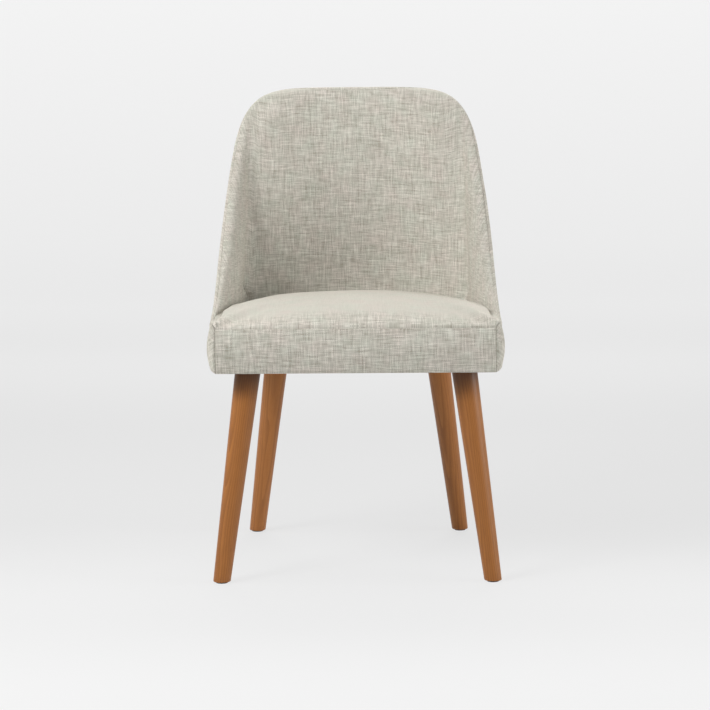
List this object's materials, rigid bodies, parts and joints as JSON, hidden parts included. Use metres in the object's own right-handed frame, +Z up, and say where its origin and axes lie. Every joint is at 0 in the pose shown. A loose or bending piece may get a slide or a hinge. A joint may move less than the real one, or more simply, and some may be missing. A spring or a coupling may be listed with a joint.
{
  "type": "upholstered dining chair",
  "caption": "Dining chair with a padded, fabric-covered wrap-around back sweeping down to a crowned seat on splayed, tapered round wooden legs.",
  "frame": {"origin": "on the floor, below the middle of the chair's overall box", "axes": "+Z up from the floor, -Y the way the sitter faces, +X towards the sitter's left hand"},
  "size_m": [0.4976, 0.552, 0.825],
  "materials": {
    "upholstery": "heathered linen-look plain weave, warm light greige with paler slub threads",
    "foam": "cream polyurethane upholstery foam",
    "wadding": "white polyester wadding",
    "plywood": "moulded birch plywood, unfinished",
    "frame_wood": "planed beech, unfinished",
    "leg_wood": "turned hardwood, walnut stain under satin lacquer",
    "glide": "moulded nylon, dark brown",
    "dust_cover": "black nonwoven lining",
    "webbing": "elastic upholstery webbing",
    "zinc_steel": "bright zinc-plated steel"
  },
  "bodies": {
    "root": {"outer_cover": "upholstery", "front_band": "upholstery", "edge_wadding": "wadding", "back_shell": "plywood", "back_pad": "foam", "inner_cover": "upholstery", "seat_pad": "foam", "seat_cover": "upholstery", "rear_rail": "frame_wood", "front_rail": "frame_wood", "side_rail_left": "frame_wood", "side_rail_right": "frame_wood", "leg_front_left": "leg_wood", "foot_glide_front_left": "glide", "hanger_bolt_front_left": "zinc_steel", "leg_nut_front_left": "zinc_steel", "corner_block_front_left": "frame_wood", "leg_front_right": "leg_wood", "foot_glide_front_right": "glide", "hanger_bolt_front_right": "zinc_steel", "leg_nut_front_right": "zinc_steel", "corner_block_front_right": "frame_wood", "leg_rear_left": "leg_wood", "foot_glide_rear_left": "glide", "hanger_bolt_rear_left": "zinc_steel", "leg_nut_rear_left": "zinc_steel", "corner_block_rear_left": "frame_wood", "leg_rear_right": "leg_wood", "foot_glide_rear_right": "glide", "hanger_bolt_rear_right": "zinc_steel", "leg_nut_rear_right": "zinc_steel", "corner_block_rear_right": "frame_wood", "dust_cover": "dust_cover", "strap_lengthways_1": "webbing", "strap_lengthways_2": "webbing", "strap_lengthways_3": "webbing", "strap_crossways_1": "webbing", "strap_crossways_2": "webbing", "strap_crossways_3": "webbing", "block_screw_front_left_1": "zinc_steel", "block_screw_front_left_2": "zinc_steel", "block_screw_rear_left_1": "zinc_steel", "block_screw_rear_left_2": "zinc_steel", "block_screw_front_right_1": "zinc_steel", "block_screw_front_right_2": "zinc_steel", "block_screw_rear_right_1": "zinc_steel", "block_screw_rear_right_2": "zinc_steel", "back_bolt_rear_left": "zinc_steel", "back_nut_rear_left": "zinc_steel", "back_bolt_rear_right": "zinc_steel", "back_nut_rear_right": "zinc_steel", "back_bolt_side_rear_left": "zinc_steel", "back_nut_side_rear_left": "zinc_steel", "back_bolt_side_rear_right": "zinc_steel", "back_nut_side_rear_right": "zinc_steel", "back_bolt_side_front_left": "zinc_steel", "back_nut_side_front_left": "zinc_steel", "back_bolt_side_front_right": "zinc_steel", "back_nut_side_front_right": "zinc_steel"}
  },
  "joints": []
}
